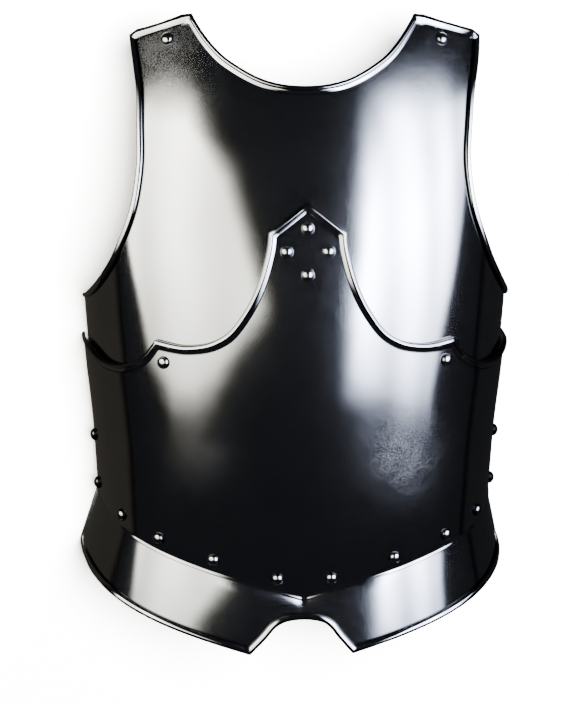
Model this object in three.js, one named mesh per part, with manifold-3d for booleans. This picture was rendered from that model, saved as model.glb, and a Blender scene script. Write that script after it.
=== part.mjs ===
import * as THREE from "three";
import { mergeVertices } from "three/addons/utils/BufferGeometryUtils.js";
import Module from "manifold-3d";

const wasm = await Module();
wasm.setup();

// A plain steel breastplate, lying on its open back.
// X runs across the chest, Y up toward the neck, Z out of the chest.
// Three sheet plates overlap: the breast plate, the plackart riveted over its
// lower part, and the fauld lame that flares out below the waist.
// Lengths are in millimetres. A place on the plates has two numbers:
// around, from 0 on the centre line to 1 on the side edge, and height along Y.

// Sheet, gaps and rolled edges
const SHEET = 1.5;
const LAYER_GAP = 0.75;
const SEAT_GAP = 0.3;
const BEAD_RADIUS = 3.7;
const BEAD_END_RADIUS = 1.7;
const BEAD_TAPER_AROUND = 0.72;
const FLANGE_WIDTH = 9;
const FLANGE_LIFT = 3.6;

// Form of the body
const BODY_LENGTH = 575;
const HALF_WIDTH = 198;
const BODY_DEPTH = 162;
const SQUARENESS = 0.04;

// Breast plate
const SHOULDER_HEIGHT = 275;
const SHOULDER_SLOPE = 21;
const NECK_DEPTH = 58.5;
const NECK_AROUND = 0.355;
const SHOULDER_AROUND = 0.603;
const UNDERARM_HEIGHT = 19.5;
const UPPER_LAP = 30;

// Plackart
const CUSP_HEIGHT = -3;
const GABLE_RISE = 100;
const APEX_RISE = 21;
const GABLE_AROUND = 0.075;
const CUSP_AROUND = 0.408;
const SCOOP_DEPTH = 27;
const SIDE_STAND = 2;
const SIDE_STAND_AROUND = 0.85;
const WAIST_SIDE_HEIGHT = -157;
const WAIST_DROP = 72;
const WAIST_CURVE = 1.35;

// Fauld lame
const LOWER_LAP = 24;
const SKIRT_SIDE_LENGTH = 49;
const SKIRT_FRONT_LENGTH = 56;
const SIDE_FLARE = 0.33;
const FRONT_FLARE = 0.42;
const BEND_LENGTH = 5;
const NOTCH_AROUND = 0.139;
const NOTCH_RISE = 29;

// Rivets
const HEAD_RADIUS = 5.8;
const HEAD_HEIGHT = 4.2;
const SHANK_RADIUS = 3.2;
const TAIL_RADIUS = 4.6;
const TAIL_FLAT_RADIUS = 3.7;
const TAIL_HEIGHT = 1.6;
const TAIL_GAP = 1.1;
const HOLE_CLEARANCE = 0.35;
const RIVET_SIDES = 10;
const WAIST_RIVET_INSET = 10.5;
const SIDE_RIVET_RISE = 52;
const CUSP_RIVET_INSET = 12;
const SHOULDER_RIVET_INSET = 8.5;
const DIAMOND_TOP_INSET = 13.5;
const DIAMOND_HALF_HEIGHT = 20;
const DIAMOND_HALF_WIDTH = 18;

// Polished steel
const POLISH_ROUGHNESS = 0.15;
const BREAST_PLATE_COLOR = 0x6f7274;
const PLACKART_COLOR = 0x6a6d70;
const FAULD_COLOR = 0x67696c;
const RIVET_COLOR = 0x5c5e60;

const QUARTER_TURN = Math.PI / 2;
const PROBE = 1e-4;
const LEAST_LEAN = 0.5;

const WAIST_RIVETS_AROUND = [0.074, 0.258, 0.449, 0.637, 0.89];
const SIDE_RIVET_AROUND = 0.9;
const CUSP_RIVET_AROUND = 0.395;
const SHOULDER_RIVET_AROUND = 0.436;

// Section of the body at nine even heights.
// Columns: height as a share of BODY_LENGTH, width of HALF_WIDTH, depth of BODY_DEPTH
const bodyTable = [
  { height: -0.52, width: 0.870, depth: 0.795 },
  { height: -0.39, width: 0.897, depth: 0.890 },
  { height: -0.26, width: 0.920, depth: 0.952 },
  { height: -0.13, width: 0.943, depth: 0.992 },
  { height: 0.00, width: 0.972, depth: 1.000 },
  { height: 0.13, width: 0.990, depth: 0.975 },
  { height: 0.26, width: 0.972, depth: 0.905 },
  { height: 0.39, width: 0.915, depth: 0.765 },
  { height: 0.52, width: 0.835, depth: 0.520 },
];

// Neck edge from the centre line to the shoulder.
// Columns: around as a share of NECK_AROUND, rise as a share of NECK_DEPTH
const neckTable = [
  { around: 0, rise: 0 },
  { around: 0.31, rise: 0.085 },
  { around: 0.61, rise: 0.365 },
  { around: 0.8, rise: 0.635 },
  { around: 1, rise: 1 },
];

// Arm edge from the side edge up to the shoulder.
// Columns: around, rise as a share of the height from the underarm to the shoulder
const armTable = [
  { around: 1, rise: 0 },
  { around: 0.84, rise: 0.03 },
  { around: 0.71, rise: 0.085 },
  { around: 0.6, rise: 0.18 },
  { around: 0.533, rise: 0.286 },
  { around: 0.49, rise: 0.39 },
  { around: 0.4715, rise: 0.49 },
  { around: 0.4695, rise: 0.59 },
  { around: 0.487, rise: 0.7 },
  { around: 0.514, rise: 0.815 },
  { around: 0.554, rise: 0.906 },
  { around: SHOULDER_AROUND, rise: 1 },
];

// Plackart edge from the gable down its flank to the cusp.
// Columns: around, rise above the cusp as a share of GABLE_RISE
const flankTable = [
  { around: GABLE_AROUND, rise: 1 },
  { around: 0.08, rise: 0.86 },
  { around: 0.097, rise: 0.633 },
  { around: 0.12, rise: 0.436 },
  { around: 0.15, rise: 0.263 },
  { around: 0.182, rise: 0.129 },
  { around: 0.219, rise: 0.045 },
  { around: 0.263, rise: -0.006 },
  { around: 0.33, rise: -0.028 },
  { around: CUSP_AROUND, rise: 0 },
];

// Plackart edge from the cusp through the scoop to the side edge.
// Columns: around, drop below the cusp as a share of SCOOP_DEPTH
const scoopTable = [
  { around: CUSP_AROUND, drop: 0 },
  { around: 0.445, drop: 0.41 },
  { around: 0.495, drop: 0.72 },
  { around: 0.558, drop: 0.93 },
  { around: 0.622, drop: 1 },
  { around: 0.7, drop: 0.945 },
  { around: 0.78, drop: 0.76 },
  { around: 0.87, drop: 0.6 },
  { around: 1, drop: 0.52 },
];

// Notch in the fauld's lower edge from the centre line to its point.
// Columns: around as a share of NOTCH_AROUND, rise as a share of NOTCH_RISE
const notchTable = [
  { around: 0, rise: 1 },
  { around: 0.355, rise: 0.94 },
  { around: 0.6, rise: 0.74 },
  { around: 0.793, rise: 0.37 },
  { around: 1, rise: 0 },
];

// Cross-section of the turned shoulder flange.
// Columns: out past the edge as a share of FLANGE_WIDTH, lift as a share of FLANGE_LIFT
const flangeTable = [
  { out: 0.25, lift: 0.45 },
  { out: 0.62, lift: 1.0 },
  { out: 0.78, lift: 1.0 },
  { out: 0.93, lift: 0.72 },
  { out: 1.0, lift: 0.2 },
  { out: 0.9, lift: -0.25 },
];

// Half section of a rivet's domed head.
// Columns: radius as a share of HEAD_RADIUS, along as a share of HEAD_HEIGHT
const domeTable = [
  { radius: 1, along: 0 },
  { radius: 0.76, along: 0.66 },
  { radius: 0, along: 1 },
];

// Numbers of mesh steps along each stretch
const STEPS = {
  neck: 9,
  shoulder: 3,
  arm: 12,
  upperSide: 3,
  apex: 1,
  flank: 12,
  scoop: 8,
  plackartRows: 7,
  skirtEdge: 12,
  notch: 7,
  lapRows: 2,
  bendRows: 2,
  skirtRows: 3,
};

// Curve through evenly spaced rows, with continuous curvature
function naturalSpline(places, values) {
  const last = places.length - 1;
  const step = (places[last] - places[0]) / last;
  const bend = new Array(last + 1).fill(0);
  const ratio = new Array(last + 1).fill(0);
  for (let i = 1; i < last; i++) {
    const change = (6 * (values[i + 1] - 2 * values[i] + values[i - 1])) / (step * step);
    const pivot = 4 - ratio[i - 1];
    ratio[i] = 1 / pivot;
    bend[i] = (change - bend[i - 1]) / pivot;
  }
  for (let i = last - 1; i > 0; i--) {
    bend[i] -= ratio[i] * bend[i + 1];
  }
  return (place) => {
    const at = (place - places[0]) / step;
    const i = Math.min(Math.max(Math.floor(at), 0), last - 1);
    const b = at - i;
    const a = 1 - b;
    const curve = ((a ** 3 - a) * bend[i] + (b ** 3 - b) * bend[i + 1]) * (step * step) / 6;
    return a * values[i] + b * values[i + 1] + curve;
  };
}

const stations = bodyTable.map((row) => row.height * BODY_LENGTH);
const widthAt = naturalSpline(stations, bodyTable.map((row) => row.width * HALF_WIDTH));
const depthAt = naturalSpline(stations, bodyTable.map((row) => row.depth * BODY_DEPTH));

// Shares of the half width and of the depth at a place around the section
function sectionShares(around) {
  const angle = around * QUARTER_TURN;
  return {
    across: (Math.sin(angle) + SQUARENESS * Math.sin(3 * angle)) / (1 - SQUARENESS),
    out: (Math.cos(angle) - SQUARENESS * Math.cos(3 * angle)) / (1 - SQUARENESS),
  };
}

function bodySurface(around, height) {
  const share = sectionShares(around);
  return new THREE.Vector3(widthAt(height) * share.across, height, depthAt(height) * share.out);
}

// The plackart's lower edge, which the fauld's flare starts from
function waistHeight(around) {
  const drop = WAIST_DROP * (1 - Math.abs(around)) ** WAIST_CURVE;
  return WAIST_SIDE_HEIGHT - drop;
}

function skirtSurface(around, height) {
  const share = sectionShares(around);
  const drop = Math.max(waistHeight(around) - height, 0);
  const straight = drop - BEND_LENGTH / 2;
  const flare = drop < BEND_LENGTH ? (drop * drop) / (2 * BEND_LENGTH) : straight;
  const point = bodySurface(around, height);
  point.x += flare * SIDE_FLARE * share.across;
  point.z += flare * FRONT_FLARE * share.out;
  return point;
}

function normalOn(surface, around, height) {
  const across = surface(around + PROBE, height).sub(surface(around - PROBE, height));
  const along = surface(around, height + PROBE).sub(surface(around, height - PROBE));
  return across.cross(along).normalize();
}

function offsetPoint(surface, around, height, distance) {
  const normal = normalOn(surface, around, height);
  return surface(around, height).addScaledVector(normal, distance);
}

// How far the plackart's side scoops stand off the breast plate
function sideStand(around, height) {
  const rivetHeight = WAIST_SIDE_HEIGHT + SIDE_RIVET_RISE;
  const scoopHeight = CUSP_HEIGHT - SCOOP_DEPTH;
  const sideways = THREE.MathUtils.smoothstep(Math.abs(around), CUSP_AROUND, SIDE_STAND_AROUND);
  const upward = THREE.MathUtils.smoothstep(height, rivetHeight, scoopHeight);
  return SIDE_STAND * sideways * upward;
}

function plackartLift(around, height) {
  return LAYER_GAP + sideStand(around, height);
}

// Smooth curve through a table's rows, cut into even steps.
// A curve that starts on the centre line runs level across it.
function curveNodes(rows, steps) {
  const full = rows[0].around === 0 ? mirrored(rows) : rows;
  const start = rows[0].around === 0 ? 0.5 : 0;
  const curve = new THREE.SplineCurve(full.map((row) => new THREE.Vector2(row.around, row.height)));
  const nodes = [];
  for (let i = 0; i <= steps; i++) {
    const point = curve.getPoint(THREE.MathUtils.lerp(start, 1, i / steps));
    nodes.push({ around: point.x, height: point.y });
  }
  return nodes;
}

function lineNodes(from, to, steps) {
  const nodes = [];
  for (let i = 0; i <= steps; i++) {
    nodes.push(nodeBetween(from, to, i / steps));
  }
  return nodes;
}

function nodeBetween(from, to, share) {
  return {
    around: THREE.MathUtils.lerp(from.around, to.around, share),
    height: THREE.MathUtils.lerp(from.height, to.height, share),
  };
}

// Stretches joined end to end, each starting where the last one ends
function joined(...stretches) {
  return stretches.flatMap((nodes, i) => (i === 0 ? nodes : nodes.slice(1)));
}

// Share of the way along an edge at each of its nodes
function lengthShares(surface, nodes) {
  const lengths = [0];
  for (let i = 1; i < nodes.length; i++) {
    const from = surface(nodes[i - 1].around, nodes[i - 1].height);
    const to = surface(nodes[i].around, nodes[i].height);
    lengths.push(lengths[i - 1] + from.distanceTo(to));
  }
  return lengths.map((length) => length / lengths[lengths.length - 1]);
}

// One edge from the centre line to the side, copied to the other side
function mirrored(half) {
  const other = half.slice(1).map((node) => ({ ...node, around: -node.around }));
  return [...other.reverse(), ...half];
}

// Rolled edge: a roll flush inside and standing proud outside
function rollProfile(radius) {
  const lift = radius - SHEET;
  const centre = Math.sqrt(radius ** 2 - lift ** 2);
  const start = Math.atan2(-lift, -centre) + 2 * Math.PI;
  const profile = [];
  for (let i = 1; i <= flangeTable.length + 1; i++) {
    const angle = THREE.MathUtils.lerp(start, -QUARTER_TURN, i / (flangeTable.length + 1));
    profile.push({
      out: centre + radius * Math.cos(angle),
      lift: lift + radius * Math.sin(angle),
    });
  }
  return profile;
}

const fullRoll = rollProfile(BEAD_RADIUS);
const rollReach = Math.max(...fullRoll.map((point) => point.out));
const rollFoot = fullRoll[fullRoll.length - 1];
const flange = [
  ...flangeTable.map((row) => ({ out: row.out * FLANGE_WIDTH, lift: row.lift * FLANGE_LIFT })),
  rollFoot,
];

// Roll that thins out toward the side edges, where the plate's corners lie flat
function taperedRoll(node) {
  const share = THREE.MathUtils.smoothstep(Math.abs(node.around), BEAD_TAPER_AROUND, 1);
  return rollProfile(THREE.MathUtils.lerp(BEAD_RADIUS, BEAD_END_RADIUS, share));
}

// Direction that a rolled edge's cross-section leans out in, at a node of the edge
function edgeDirection(before, after) {
  if (before.profile && after.profile) {
    const sum = before.outward.clone().add(after.outward);
    return sum.divideScalar(1 + before.outward.dot(after.outward));
  }
  const beaded = before.profile ? before : after;
  const plain = before.profile ? after.along.clone().negate() : before.along.clone();
  const lean = plain.dot(beaded.outward);
  return Math.abs(lean) > LEAST_LEAN ? plain.divideScalar(lean) : beaded.outward.clone();
}

function solidFrom(positions, triangles) {
  return new wasm.Manifold(new wasm.Mesh({
    numProp: 3,
    vertProperties: new Float32Array(positions.flatMap((point) => point.toArray())),
    triVerts: new Uint32Array(triangles.flat()),
  }));
}

// A sheet plate as one closed body.
// nodes[row][column] holds places, rows from the lower edge to the upper edge.
// edges gives the section of each boundary segment's roll, or null for a plain edge.
function plateSolid(nodes, layers, edges) {
  const rows = nodes.length - 1;
  const columns = nodes[0].length - 1;
  const positions = [];
  const triangles = [];
  const addPoint = (point) => positions.push(point) - 1;
  const outer = nodes.map((row) => row.map((node) => addPoint(layers.outer(node))));
  const inner = nodes.map((row) => row.map((node) => addPoint(layers.inner(node))));

  const addQuad = (a, b, c, d) => {
    const first = positions[a].distanceToSquared(positions[c]);
    const second = positions[b].distanceToSquared(positions[d]);
    if (first <= second) {
      triangles.push([a, b, c], [a, c, d]);
    } else {
      triangles.push([a, b, d], [b, c, d]);
    }
  };
  for (let j = 0; j < rows; j++) {
    for (let i = 0; i < columns; i++) {
      addQuad(outer[j][i], outer[j][i + 1], outer[j + 1][i + 1], outer[j + 1][i]);
      addQuad(inner[j][i], inner[j + 1][i], inner[j + 1][i + 1], inner[j][i + 1]);
    }
  }

  const profileAt = (profile, node) => (profile ? profile(nodes[node.row][node.column]) : null);
  const loop = [];
  for (let i = 0; i < columns; i++) {
    loop.push({ row: 0, column: i, profile: edges.lower(i) });
  }
  for (let j = 0; j < rows; j++) {
    loop.push({ row: j, column: columns, profile: edges.side(j) });
  }
  for (let i = columns; i > 0; i--) {
    loop.push({ row: rows, column: i, profile: edges.upper(i - 1) });
  }
  for (let j = rows; j > 0; j--) {
    loop.push({ row: j, column: 0, profile: edges.side(j - 1) });
  }
  loop.forEach((node, k) => {
    const next = loop[(k + 1) % loop.length];
    node.outer = outer[node.row][node.column];
    node.inner = inner[node.row][node.column];
    node.normal = layers.normal(nodes[node.row][node.column]);
    const from = positions[node.outer];
    const to = positions[outer[next.row][next.column]];
    node.along = to.clone().sub(from).normalize();
    node.outward = node.along.clone().cross(node.normal).normalize();
  });
  loop.forEach((node, k) => {
    const before = loop[(k + loop.length - 1) % loop.length];
    const ahead = profileAt(node.profile || before.profile, node);
    if (!ahead) {
      return;
    }
    const behind = profileAt(before.profile || node.profile, node);
    const direction = edgeDirection(before, node);
    node.section = ahead.map((point, p) => ({
      out: (point.out + behind[p].out) / 2,
      lift: (point.lift + behind[p].lift) / 2,
    }));
    const middle = node.section.map(({ out, lift }) => {
      const origin = positions[node.outer].clone();
      return addPoint(origin.addScaledVector(direction, out).addScaledVector(node.normal, lift));
    });
    node.ring = [node.outer, ...middle, node.inner];
  });
  const addCap = (node, closing) => {
    const contour = [{ out: 0, lift: 0 }, ...node.section, { out: 0, lift: -SHEET }];
    const flat = contour.map((point) => new THREE.Vector2(point.out, point.lift));
    THREE.ShapeUtils.triangulateShape(flat, []).forEach(([a, b, c]) => {
      const face = [node.ring[a], node.ring[b], node.ring[c]];
      triangles.push(closing ? face.reverse() : face);
    });
  };
  loop.forEach((node, k) => {
    const next = loop[(k + 1) % loop.length];
    const here = node.profile ? node.ring : [node.outer, node.inner];
    const there = node.profile ? next.ring : [next.outer, next.inner];
    for (let p = 0; p < here.length - 1; p++) {
      addQuad(here[p], here[p + 1], there[p + 1], there[p]);
    }
    const before = loop[(k + loop.length - 1) % loop.length];
    if (node.profile && !before.profile) {
      addCap(node, false);
    }
    if (!node.profile && before.profile) {
      addCap(node, true);
    }
  });
  return solidFrom(positions, triangles);
}

function plateLayers(surface, lift) {
  const at = (node, extra) => {
    const distance = lift(node.around, node.height) + extra;
    return offsetPoint(surface, node.around, node.height, distance);
  };
  return {
    outer: (node) => at(node, SHEET),
    inner: (node) => at(node, 0),
    normal: (node) => normalOn(surface, node.around, node.height),
  };
}

// The breast plate and the fauld lie one sheet and a gap below the plackart
const underLift = () => -SHEET;

function breastPlate() {
  const shoulderFoot = SHOULDER_HEIGHT - SHOULDER_SLOPE;
  const neck = neckTable.map((row) => ({
    around: row.around * NECK_AROUND,
    height: SHOULDER_HEIGHT - NECK_DEPTH * (1 - row.rise),
  }));
  const arm = armTable.map((row) => ({
    around: row.around,
    height: THREE.MathUtils.lerp(UNDERARM_HEIGHT, shoulderFoot, row.rise),
  }));
  const shoulder = [
    { around: NECK_AROUND, height: SHOULDER_HEIGHT },
    { around: SHOULDER_AROUND, height: shoulderFoot },
  ];
  const lowerHeight = CUSP_HEIGHT - SCOOP_DEPTH - UPPER_LAP;
  const sideFoot = { around: 1, height: lowerHeight };
  const upper = mirrored(joined(
    curveNodes(neck, STEPS.neck),
    lineNodes(shoulder[0], shoulder[1], STEPS.shoulder),
  ));
  const side = joined(
    lineNodes(sideFoot, arm[0], STEPS.upperSide),
    curveNodes(arm, STEPS.arm),
  );
  const across = lengthShares(bodySurface, upper);
  const upward = lengthShares(bodySurface, side);
  const corner = upper[upper.length - 1];
  const nodes = side.map((edge, j) => upper.map((top, i) => {
    const foot = { around: 2 * across[i] - 1, height: lowerHeight };
    const plain = nodeBetween(foot, top, upward[j]);
    const cornerLine = nodeBetween(sideFoot, corner, upward[j]);
    return {
      around: plain.around + (edge.around - cornerLine.around) * (2 * across[i] - 1),
      height: plain.height + edge.height - cornerLine.height,
    };
  }));
  const columns = upper.length - 1;
  return plateSolid(nodes, plateLayers(bodySurface, underLift), {
    lower: () => null,
    side: (j) => (j < STEPS.upperSide ? null : taperedRoll),
    upper: (i) => (i < STEPS.shoulder || i >= columns - STEPS.shoulder ? () => flange : () => fullRoll),
  });
}

function plackart() {
  const gable = { around: GABLE_AROUND, height: CUSP_HEIGHT + GABLE_RISE };
  const apex = { around: 0, height: gable.height + APEX_RISE };
  const flank = flankTable.map((row) => ({
    around: row.around,
    height: CUSP_HEIGHT + row.rise * GABLE_RISE,
  }));
  const scoop = scoopTable.map((row) => ({
    around: row.around,
    height: CUSP_HEIGHT - row.drop * SCOOP_DEPTH,
  }));
  const upper = mirrored(joined(
    lineNodes(apex, gable, STEPS.apex),
    curveNodes(flank, STEPS.flank),
    curveNodes(scoop, STEPS.scoop),
  ));
  const across = lengthShares(bodySurface, upper);
  const nodes = [];
  for (let j = 0; j <= STEPS.plackartRows; j++) {
    nodes.push(upper.map((top, i) => {
      const around = (top.around + 2 * across[i] - 1) / 2;
      return nodeBetween({ around, height: waistHeight(around) }, top, j / STEPS.plackartRows);
    }));
  }
  return plateSolid(nodes, plateLayers(bodySurface, plackartLift), {
    lower: () => null,
    side: () => null,
    upper: () => taperedRoll,
  });
}

// Place around the skirt where its edge roll just clears the plane it lies on
function skirtEdgeAround(height) {
  const slope = (1 + 3 * SQUARENESS) / (1 - SQUARENESS);
  return 1 - rollReach / (depthAt(height) * slope * QUARTER_TURN);
}

function fauldLame() {
  const pointHeight = waistHeight(NOTCH_AROUND) - SKIRT_FRONT_LENGTH;
  const notch = notchTable.map((row) => ({
    around: row.around * NOTCH_AROUND,
    height: pointHeight + row.rise * NOTCH_RISE,
  }));
  const hem = lineNodes(notch[notch.length - 1], { around: 1, height: 0 }, STEPS.skirtEdge);
  hem.forEach((node) => {
    const share = (node.around - NOTCH_AROUND) / (1 - NOTCH_AROUND);
    const length = THREE.MathUtils.lerp(SKIRT_FRONT_LENGTH, SKIRT_SIDE_LENGTH, share);
    node.height = waistHeight(node.around) - length;
  });
  const lower = mirrored(joined(curveNodes(notch, STEPS.notch), hem));
  const across = lengthShares(skirtSurface, lower);
  const sheetRow = (offset) => lower.map((foot, i) => {
    const even = (foot.around + 2 * across[i] - 1) / 2;
    const around = even * skirtEdgeAround(WAIST_SIDE_HEIGHT + offset);
    return { around, height: waistHeight(around) + offset };
  });
  const hemRow = lower.map((foot) => ({
    around: foot.around * skirtEdgeAround(foot.height),
    height: foot.height,
  }));
  const bendRow = sheetRow(-BEND_LENGTH);
  const nodes = [];
  for (let j = 0; j < STEPS.skirtRows; j++) {
    nodes.push(hemRow.map((foot, i) => nodeBetween(foot, bendRow[i], j / STEPS.skirtRows)));
  }
  for (let j = 0; j < STEPS.bendRows; j++) {
    nodes.push(sheetRow(-BEND_LENGTH * (1 - j / STEPS.bendRows)));
  }
  for (let j = 0; j <= STEPS.lapRows; j++) {
    nodes.push(sheetRow((LOWER_LAP * j) / STEPS.lapRows));
  }
  const rollRows = STEPS.skirtRows + STEPS.bendRows - 1;
  return plateSolid(nodes, plateLayers(skirtSurface, underLift), {
    lower: () => () => fullRoll,
    side: (j) => (j < rollRows ? () => fullRoll : null),
    upper: () => null,
  });
}

// Place around the section at a distance across from the centre line
function aroundAt(distance, height) {
  let low = 0;
  let high = 1;
  while (high - low > PROBE) {
    const middle = (low + high) / 2;
    if (bodySurface(middle, height).x < distance) {
      low = middle;
    } else {
      high = middle;
    }
  }
  return low;
}

// Rivets on one side and on the centre line, with the plates that each one joins
function rivetPlaces() {
  const shoulderShare = (SHOULDER_RIVET_AROUND - NECK_AROUND) / (SHOULDER_AROUND - NECK_AROUND);
  const shoulderLine = SHOULDER_HEIGHT - SHOULDER_SLOPE * shoulderShare;
  const topHeight = CUSP_HEIGHT + GABLE_RISE + APEX_RISE - DIAMOND_TOP_INSET;
  const middleHeight = topHeight - DIAMOND_HALF_HEIGHT;
  const places = [
    {
      name: "shoulder_rivet",
      around: SHOULDER_RIVET_AROUND,
      height: shoulderLine - SHOULDER_RIVET_INSET,
      plates: ["breast_plate"],
    },
    {
      name: "spire_rivet_top",
      around: 0,
      height: topHeight,
      plates: ["plackart", "breast_plate"],
    },
    {
      name: "spire_rivet",
      around: aroundAt(DIAMOND_HALF_WIDTH, middleHeight),
      height: middleHeight,
      plates: ["plackart", "breast_plate"],
    },
    {
      name: "spire_rivet_bottom",
      around: 0,
      height: middleHeight - DIAMOND_HALF_HEIGHT,
      plates: ["plackart", "breast_plate"],
    },
    {
      name: "cusp_rivet",
      around: CUSP_RIVET_AROUND,
      height: CUSP_HEIGHT - CUSP_RIVET_INSET,
      plates: ["plackart", "breast_plate"],
    },
    {
      name: "side_rivet",
      around: SIDE_RIVET_AROUND,
      height: WAIST_SIDE_HEIGHT + SIDE_RIVET_RISE,
      plates: ["plackart"],
    },
  ];
  WAIST_RIVETS_AROUND.forEach((around, i) => places.push({
    name: `waist_rivet_${i + 1}`,
    around,
    height: waistHeight(around) + WAIST_RIVET_INSET,
    plates: ["plackart", "fauld_lame"],
  }));
  return places;
}

// Each place once on the centre line, or once on either side of it
function bothSides(place) {
  if (place.around === 0) {
    return [place];
  }
  return [
    { ...place, name: `${place.name}_left`, around: -place.around },
    { ...place, name: `${place.name}_right` },
  ];
}

// Outer face of the topmost plate at a rivet, and how thick the plates are together
function rivetSeat(place) {
  const onTop = place.plates.includes("plackart");
  const lift = onTop ? plackartLift(place.around, place.height) + SHEET : 0;
  const thickness = place.plates.length > 1 ? 2 * SHEET + LAYER_GAP : SHEET;
  return { lift, thickness };
}

// Turned shape around its own Y axis, stood on a plate along the plate's normal
function placeTurned(object, place, lift) {
  const normal = normalOn(bodySurface, place.around, place.height);
  object.quaternion.setFromUnitVectors(new THREE.Vector3(0, 1, 0), normal);
  object.position.copy(offsetPoint(bodySurface, place.around, place.height, lift));
  object.updateMatrix();
  return object;
}

function turned(profile) {
  const points = profile.map((point) => new THREE.Vector2(point.radius, point.along));
  return new THREE.LatheGeometry(points, RIVET_SIDES);
}

function rivetGeometry(thickness) {
  const tail = -(SEAT_GAP + thickness + TAIL_GAP);
  return turned([
    { radius: 0, along: tail - TAIL_HEIGHT },
    { radius: TAIL_FLAT_RADIUS, along: tail - TAIL_HEIGHT },
    { radius: TAIL_RADIUS, along: tail },
    { radius: SHANK_RADIUS, along: tail },
    { radius: SHANK_RADIUS, along: 0 },
    ...domeTable.map((row) => ({ radius: row.radius * HEAD_RADIUS, along: row.along * HEAD_HEIGHT })),
  ]);
}

function solidFromGeometry(geometry, matrix) {
  const plain = geometry.clone().applyMatrix4(matrix);
  plain.deleteAttribute("normal");
  plain.deleteAttribute("uv");
  const merged = mergeVertices(plain, PROBE);
  const index = merged.index.array;
  const triangles = [];
  for (let i = 0; i < index.length; i += 3) {
    const [a, b, c] = index.slice(i, i + 3);
    if (a !== b && b !== c && c !== a) {
      triangles.push([a, b, c]);
    }
  }
  const positions = [];
  for (let i = 0; i < merged.attributes.position.count; i++) {
    positions.push(new THREE.Vector3().fromBufferAttribute(merged.attributes.position, i));
  }
  return solidFrom(positions, triangles);
}

function holeSolid(place) {
  const { lift, thickness } = rivetSeat(place);
  const radius = SHANK_RADIUS + HOLE_CLEARANCE;
  const cutter = turned([
    { radius: 0, along: -thickness - HEAD_HEIGHT },
    { radius, along: -thickness - HEAD_HEIGHT },
    { radius, along: HEAD_HEIGHT },
    { radius: 0, along: HEAD_HEIGHT },
  ]);
  const holder = placeTurned(new THREE.Object3D(), place, lift);
  return solidFromGeometry(cutter, holder.matrix);
}

function geometryFrom(solid) {
  const mesh = solid.getMesh();
  const geometry = new THREE.BufferGeometry();
  geometry.setAttribute("position", new THREE.BufferAttribute(mesh.vertProperties, 3));
  geometry.setIndex(new THREE.BufferAttribute(mesh.triVerts, 1));
  geometry.computeVertexNormals();
  return geometry;
}

function steel(color) {
  return new THREE.MeshStandardMaterial({ color, roughness: POLISH_ROUGHNESS, metalness: 1 });
}

const places = rivetPlaces().flatMap(bothSides);
const plates = {
  breast_plate: { solid: breastPlate(), color: BREAST_PLATE_COLOR },
  plackart: { solid: plackart(), color: PLACKART_COLOR },
  fauld_lame: { solid: fauldLame(), color: FAULD_COLOR },
};

const breastplate = new THREE.Group();
for (const [name, plate] of Object.entries(plates)) {
  const drilled = places
    .filter((place) => place.plates.includes(name))
    .reduce((solid, place) => solid.subtract(holeSolid(place)), plate.solid);
  const mesh = new THREE.Mesh(geometryFrom(drilled), steel(plate.color));
  mesh.name = name;
  breastplate.add(mesh);
}
for (const place of places) {
  const { lift, thickness } = rivetSeat(place);
  const mesh = new THREE.Mesh(rivetGeometry(thickness), steel(RIVET_COLOR));
  mesh.name = place.name;
  breastplate.add(placeTurned(mesh, place, lift + SEAT_GAP));
}

// The origin is the middle of the length, on the plane that the armour lies on
const box = new THREE.Box3().setFromObject(breastplate);
breastplate.position.y = -(box.min.y + box.max.y) / 2;

export default breastplate;
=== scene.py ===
import math

import bpy
import numpy as np
from mathutils import Matrix, Vector


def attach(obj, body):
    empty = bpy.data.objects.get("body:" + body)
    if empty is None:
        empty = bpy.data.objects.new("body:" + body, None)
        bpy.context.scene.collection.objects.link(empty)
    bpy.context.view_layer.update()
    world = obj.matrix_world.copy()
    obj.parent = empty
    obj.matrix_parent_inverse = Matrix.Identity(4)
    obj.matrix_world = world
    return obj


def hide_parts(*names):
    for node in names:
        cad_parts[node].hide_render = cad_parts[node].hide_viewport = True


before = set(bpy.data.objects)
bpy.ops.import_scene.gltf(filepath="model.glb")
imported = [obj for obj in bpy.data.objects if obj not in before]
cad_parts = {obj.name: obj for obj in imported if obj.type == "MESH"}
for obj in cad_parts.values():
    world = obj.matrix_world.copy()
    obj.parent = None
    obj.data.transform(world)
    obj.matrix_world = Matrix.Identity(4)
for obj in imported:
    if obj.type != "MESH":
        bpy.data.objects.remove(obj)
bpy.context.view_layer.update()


# Camera
# The breastplate lies on its open back and is seen from high above the chest,
# from a little toward the neck, with a long lens.
MM = 0.001
LENGTH_SHIFT = -2.629 * MM
LOOK_AT = Vector((0.0, LENGTH_SHIFT, 75 * MM))
CAMERA_DISTANCE = 2200 * MM
CAMERA_OFFSET = (13.75 * MM, 19.88 * MM)
CAMERA_YAW = math.radians(4.162)
CAMERA_PITCH = math.radians(11.46)
CAMERA_ROLL = math.radians(-0.286)
LENS = 124.8
SENSOR = 36.0


def placed(name, data):
    """An object made from its data and linked to the scene."""
    made = bpy.data.objects.new(name, data)
    bpy.context.collection.objects.link(made)
    return made


turn = (
    Matrix.Rotation(CAMERA_ROLL, 3, "Z")
    @ Matrix.Rotation(CAMERA_PITCH, 3, "X")
    @ Matrix.Rotation(CAMERA_YAW, 3, "Y")
).transposed()
eye = LOOK_AT + turn @ Vector((-CAMERA_OFFSET[0], -CAMERA_OFFSET[1], CAMERA_DISTANCE))
camera_data = bpy.data.cameras.new("camera")
camera_data.lens = LENS
camera_data.sensor_width = SENSOR
camera_data.sensor_fit = "AUTO"
camera = placed("camera", camera_data)
camera.matrix_world = Matrix.Translation(eye) @ turn.to_4x4()
bpy.context.scene.camera = camera


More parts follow.
